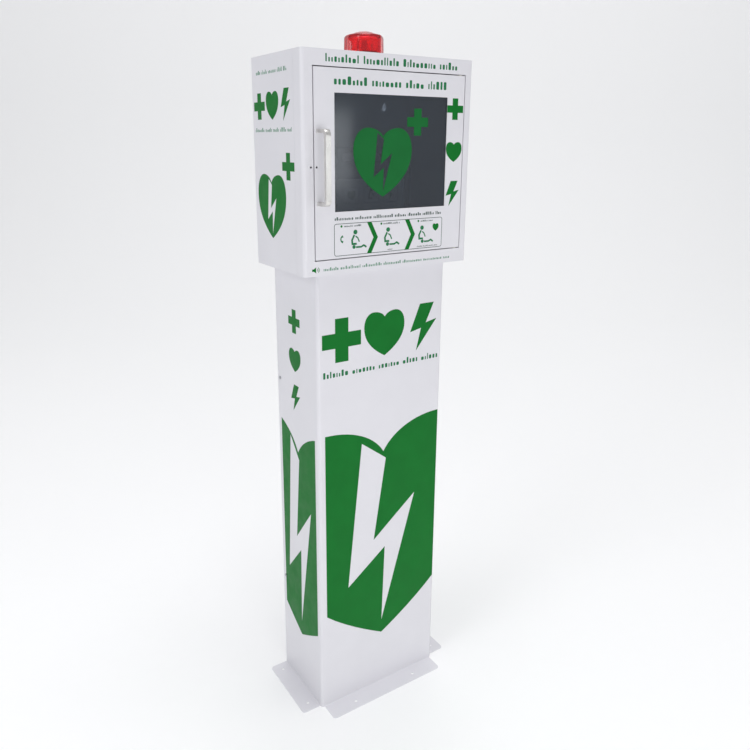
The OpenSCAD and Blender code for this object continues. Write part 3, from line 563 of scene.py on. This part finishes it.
def person(kneeling):
    """A plain pictogram of someone kneeling or lying: a head, a back and limbs."""
    if kneeling:
        trunk = stroke([(0, 7.0), (-3.5, 0.5), (-3.0, -4.5), (3.5, -4.5)], 2.6)
        arm = stroke([(1.9, 5.2), (5.0, 3.0), (7.4, -2.2)], 1.7)
        return [circle(3.0, (1.5, 10.5), 20), trunk, arm]
    trunk = stroke([(-6.0, -7.2), (3.0, -7.2), (7.5, -5.0), (12, -8.2)], 2.6)
    return [circle(2.8, (-9.5, -6.6), 20), trunk]


def handset():
    """A telephone handset: a curved grip with two thick ends."""
    angles = range(110, 251, 10)
    outer = [(7.2 * math.cos(math.radians(a)), 7.2 * math.sin(math.radians(a))) for a in angles]
    inner = []
    for a in reversed(angles):
        r = 3.2 if abs(a - 180) >= 50 else 5.0
        inner.append((r * math.cos(math.radians(a)), r * math.sin(math.radians(a))))
    return [outer + inner]


def decorate_front():
    band = text_band(-155, 155, 0, 14, 31, 3)
    sticker("frame_band_top", band, FRONT_FACE, (5.5, 397.5), GREEN_FINE, "station")
    speaker = moved(speaker_icon(), 0, 0, 1.05)
    sticker("frame_speaker", speaker, FRONT_FACE, (-176, 12.5), GREEN, "station")
    band = text_band(-156, 156, 0, 6.6, 32, 7)
    sticker("frame_band_low", band, FRONT_FACE, (-2, 12.2), GREEN_PALE, "station")
    band = text_band(-134, 134, 0, 15, 33, 4)
    sticker("door_band_top", band, FRONT_FACE, (2, 359.5), GREEN_FINE, "door")
    sticker("door_band_mid", text_band(-131, 131, 0, 6.6, 34, 6), FRONT_FACE, (-1.5, 108), INK, "door")
    for what, rings, z in (("cross", glyph_cross(42), 316), ("heart", glyph_heart(42), 231),
                           ("bolt", glyph_bolt(52), 146)):
        sticker("door_" + what, rings, FRONT_FACE, (156, z), GREEN, "door")
    outer = round_rect(-132.5, 132.5, -31.5, 31.5, 5)
    inner = round_rect(-131.4, 131.4, -30.4, 30.4, 4)
    sticker("door_steps_outline", [outer, inner], FRONT_FACE, (-1.5, 67), INK, "door")
    for k, u in enumerate((-58.5, 34)):
        sticker("door_chevron_%d" % k, [chevron(10.5, 31, 15.5)], FRONT_FACE, (u, 67), GREEN, "door")
    icons = moved(handset(), -112, 8, 1.15)
    for kneel_u, kneel_v, kneel_scale, lie_u, lie_v, lie_scale in (
            (-88, 4, 1.55, -76, 0, 1.35), (-10, 4, 1.55, 4, 0, 1.35), (76, 3, 1.5, 92, -1, 1.3)):
        icons += moved(person(True), kneel_u, kneel_v, kneel_scale)
        icons += moved(person(False), lie_u, lie_v, lie_scale)
    sticker("door_icons", icons, FRONT_FACE, (0, 60), GREEN_FINE, "door")
    sticker("door_icon_heart", glyph_heart(16), FRONT_FACE, (114, 78), GREEN, "door")
    dots = [circle(2.3, (u, 0), 16) for u in (-117.5, -24.3, 68.3)]
    sticker("door_dots", dots, FRONT_FACE, (0, 93), GREEN, "door")
    lines = (text_band(-111, -72, 93, 3.6, 35, 2) + text_band(-19, 22, 93, 3.6, 36, 2)
             + text_band(74, 108, 93, 3.6, 37, 2) + text_band(66, 120, 40.5, 3.0, 38, 4)
             + text_band(-8, 6, 40.5, 3.0, 39, 1))
    sticker("door_small_bands", lines, FRONT_FACE, (0, 0), INK, "door")
    sticker("pane_heart", list(heart_with_bolt(138)), GLASS_FACE, (-20, 146), GREEN_PANE, "door",
            PANE_DECAL)
    sticker("pane_cross", [cross(51.5, 18)], GLASS_FACE, (62.5, 289), GREEN_PANE, "door", PANE_DECAL)


def decorate_unit():
    """Plain pictograms on the unit's panel and its two buttons."""
    panel_lo, panel_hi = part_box("aed_panel")
    width, height = (panel_hi.x - panel_lo.x) / MM, (panel_hi.z - panel_lo.z) / MM
    face = (Vector(((panel_lo.x + panel_hi.x) / 2, panel_lo.y, panel_lo.z)), Vector((1, 0, 0)))
    top = height * 0.72
    frames = []
    for u in (-width * 0.29, 0, width * 0.29):
        frames.append(round_rect(u - 19, u + 19, top - 17, top + 17, 4))
        frames.append(round_rect(u - 18, u + 18, top - 16, top + 16, 3))
    sticker("unit_step_frames", frames, face, (0, 0), INK, "aed")
    steps = moved(glyph_heart(20), -width * 0.29, top) + moved(person(True), -2, top - 2, 1.2)
    steps += moved(glyph_bolt(24), width * 0.29, top)
    sticker("unit_step_icons", steps, face, (0, 0), GREEN, "aed")
    power_sign = [circle(6.2), circle(4.9), rect(-0.7, 0.7, -3, 3)]
    for node, rings, body in (("aed_power_button", power_sign, "power_button"),
                              ("aed_shock_button", glyph_bolt(15), "shock_button")):
        lo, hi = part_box(node)
        spot = (Vector(((lo.x + hi.x) / 2, lo.y, (lo.z + hi.z) / 2)), Vector((1, 0, 0)))
        sticker(node + "_icon", rings, spot, (0, 0), WHITE_PLASTIC, body, PRINT)


decorate_column()
decorate_cabinet_sides()
decorate_front()
decorate_unit()


# ---------- beacon lens ----------

def fluted_lens():
    """The clear cap: ten hollow arched panels, a ribbed inside and a stepped, shallow domed top."""
    flutes, around = 10, 200
    z0, z1 = LENS_LO.z, LENS_HI.z
    radius = LENS_HI.x
    height = z1 - z0
    wall = 2.2 * MM
    foot = 4.2 * MM  # the panels start this far up
    step_in = 0.9 * MM  # and this far inside the foot
    panel_depth = 2.6 * MM
    bm = bmesh.new()

    def ring(profile_radius, z, depth, phase=math.radians(28.5)):
        verts = []
        for i in range(around):
            a = 2 * math.pi * i / around
            across = ((a + phase) * flutes / (2 * math.pi)) % 1 * 2 - 1
            r = profile_radius - depth * (1 - abs(across) ** 2.2)
            verts.append(bm.verts.new((r * math.cos(a), r * math.sin(a), z)))
        return verts

    mid = Vector(((LENS_LO.x + LENS_HI.x) / 2, (LENS_LO.y + LENS_HI.y) / 2, 0))
    rings = [ring(radius, z0, 0), ring(radius, z0 + 3.2 * MM, 0)]
    rings.append(ring(radius - step_in, z0 + 3.6 * MM, 0))
    body_top = z0 + height * 0.72
    for k in range(9):
        t = k / 8
        arch = math.sin(math.pi * min(1.0, 0.12 + t * 0.88)) ** 0.35 if t < 1 else 0.25
        z = z0 + foot + (body_top - z0 - foot) * t
        rings.append(ring(radius - step_in - 0.5 * MM * t, z, panel_depth * (0.35 + 0.65 * arch)))
    shoulder = 5.5 * MM
    for a in (20, 40, 60, 80):
        c, s = math.cos(math.radians(a)), math.sin(math.radians(a))
        rings.append(ring(radius - 1.4 * MM - shoulder * (1 - c), body_top + shoulder * s, 1.6 * MM * c))
    crown = radius - 1.4 * MM - shoulder
    crown_z = body_top + shoulder
    rings.append(ring(crown - 1.2 * MM, crown_z + 0.2 * MM, 0))
    rings.append(ring(crown - 1.9 * MM, crown_z - 0.9 * MM, 0))
    rings.append(ring(crown - 4.0 * MM, crown_z - 0.9 * MM, 0))
    rings.append(ring(crown - 4.7 * MM, crown_z + 0.6 * MM, 0))
    dome = z1 - crown_z - 0.6 * MM
    for k in (0.8, 0.6, 0.4, 0.2, 0.06):
        rings.append(ring((crown - 4.7 * MM) * k, crown_z + 0.6 * MM + dome * (1 - k * k), 0))
    for a, b in zip(rings, rings[1:]):
        for i in range(around):
            bm.faces.new((a[i], a[(i + 1) % around], b[(i + 1) % around], b[i]))
    bm.faces.new(rings[-1])
    inner = [ring(radius - wall, z0, 0)]
    ribs = 60
    for t in (0.10, 0.35, 0.6, 0.86):
        verts = []
        for i in range(around):
            a = 2 * math.pi * i / around
            r = radius - wall - 2.9 * MM - 0.10 * MM * abs(math.sin(ribs * a / 2)) - 0.3 * MM * t
            verts.append(bm.verts.new((r * math.cos(a), r * math.sin(a), z0 + (crown_z - wall - z0) * t)))
        inner.append(verts)
    inner.append(ring(radius - wall - 8 * MM, crown_z - wall - 1.2 * MM, 0))
    inner.append(ring(crown * 0.5, crown_z - wall + 0.4 * MM, 0))
    inner.append(ring(crown * 0.1, crown_z - wall + 1.2 * MM, 0))
    for a, b in zip(inner, inner[1:]):
        for i in range(around):
            bm.faces.new((a[i], b[i], b[(i + 1) % around], a[(i + 1) % around]))
    bm.faces.new(inner[-1][::-1])
    for i in range(around):
        j = (i + 1) % around
        bm.faces.new((rings[0][j], rings[0][i], inner[0][i], inner[0][j]))
    bmesh.ops.translate(bm, verts=bm.verts, vec=mid)
    bmesh.ops.recalc_face_normals(bm, faces=bm.faces)
    mesh = bpy.data.meshes.new("beacon_lens_fluted")
    bm.to_mesh(mesh)
    bm.free()
    for face in mesh.polygons:
        face.use_smooth = True
    obj = bpy.data.objects.new("beacon_lens_fluted", mesh)
    bpy.context.scene.collection.objects.link(obj)
    mesh.materials.append(RED)
    mesh.set_sharp_from_angle(angle=math.radians(38))
    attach(obj, "station")
    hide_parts("beacon_lens")
    return obj


fluted_lens()


# ---------- stage and light ----------

def stage_floor():
    bm = bmesh.new()
    rows = []
    curve_y, curve_r = 3.2, 1.6  # where the floor turns up into the back wall, and how gently
    depth = [(-30.0, 0.0), (curve_y, 0.0)]
    for turned in range(10, 91, 10):
        a = math.radians(turned)
        depth.append((curve_y + curve_r * math.sin(a), curve_r * (1 - math.cos(a))))
    depth.append((4.8, 8.0))
    for y, z in depth:
        rows.append([bm.verts.new((x, y, z)) for x in (-30.0, 30.0)])
    for a, b in zip(rows, rows[1:]):
        bm.faces.new((a[0], a[1], b[1], b[0]))
    mesh = bpy.data.meshes.new("stage_floor")
    bm.to_mesh(mesh)
    bm.free()
    for face in mesh.polygons:
        face.use_smooth = True
    obj = bpy.data.objects.new("stage_floor", mesh)
    bpy.context.scene.collection.objects.link(obj)
    mesh.materials.append(plastic("stage_paint", srgb(254, 254, 254), 0.8, 40, 0.0001, 0.002))
    turn_back = Matrix.Rotation(YAW, 4, "Z")
    obj.matrix_world = turn_back
    return obj


stage_floor()


def area_light(name, place, target, size, power, colour=(1, 1, 1)):
    data = bpy.data.lights.new(name, "AREA")
    data.shape = "RECTANGLE"
    data.size, data.size_y = size
    data.energy = power
    data.color = colour
    obj = bpy.data.objects.new(name, data)
    bpy.context.scene.collection.objects.link(obj)
    obj.location = place
    obj.rotation_mode = "QUATERNION"
    obj.rotation_quaternion = (Vector(target) - Vector(place)).to_track_quat("-Z", "Y")
    return obj


area_light("key_soft", (-0.6, -2.7, 0.55), (0, 0, 0.55), (1.5, 1.1), 15, (1.0, 0.995, 0.99))
area_light("fill_left", (-2.9, -0.5, 2.4), (0, 0, 1.3), (1.4, 1.4), 20, (0.97, 0.985, 1.0))
area_light("top_soft", (0.4, -0.8, 9.0), (0, 0, 0.5), (5.0, 5.0), 300)

area_light("card_right", (1.45, -3.3, 1.22), (0, 0, 1.2), (0.75, 0.55), 3.2, (0.93, 0.97, 1.0))

world = bpy.data.worlds.new("studio")
bpy.context.scene.world = world
world.use_nodes = True
world.node_tree.nodes["Background"].inputs["Color"].default_value = (0.96, 0.97, 1.0, 1.0)
world.node_tree.nodes["Background"].inputs["Strength"].default_value = 0.50
bpy.context.scene.view_settings.view_transform = "Standard"
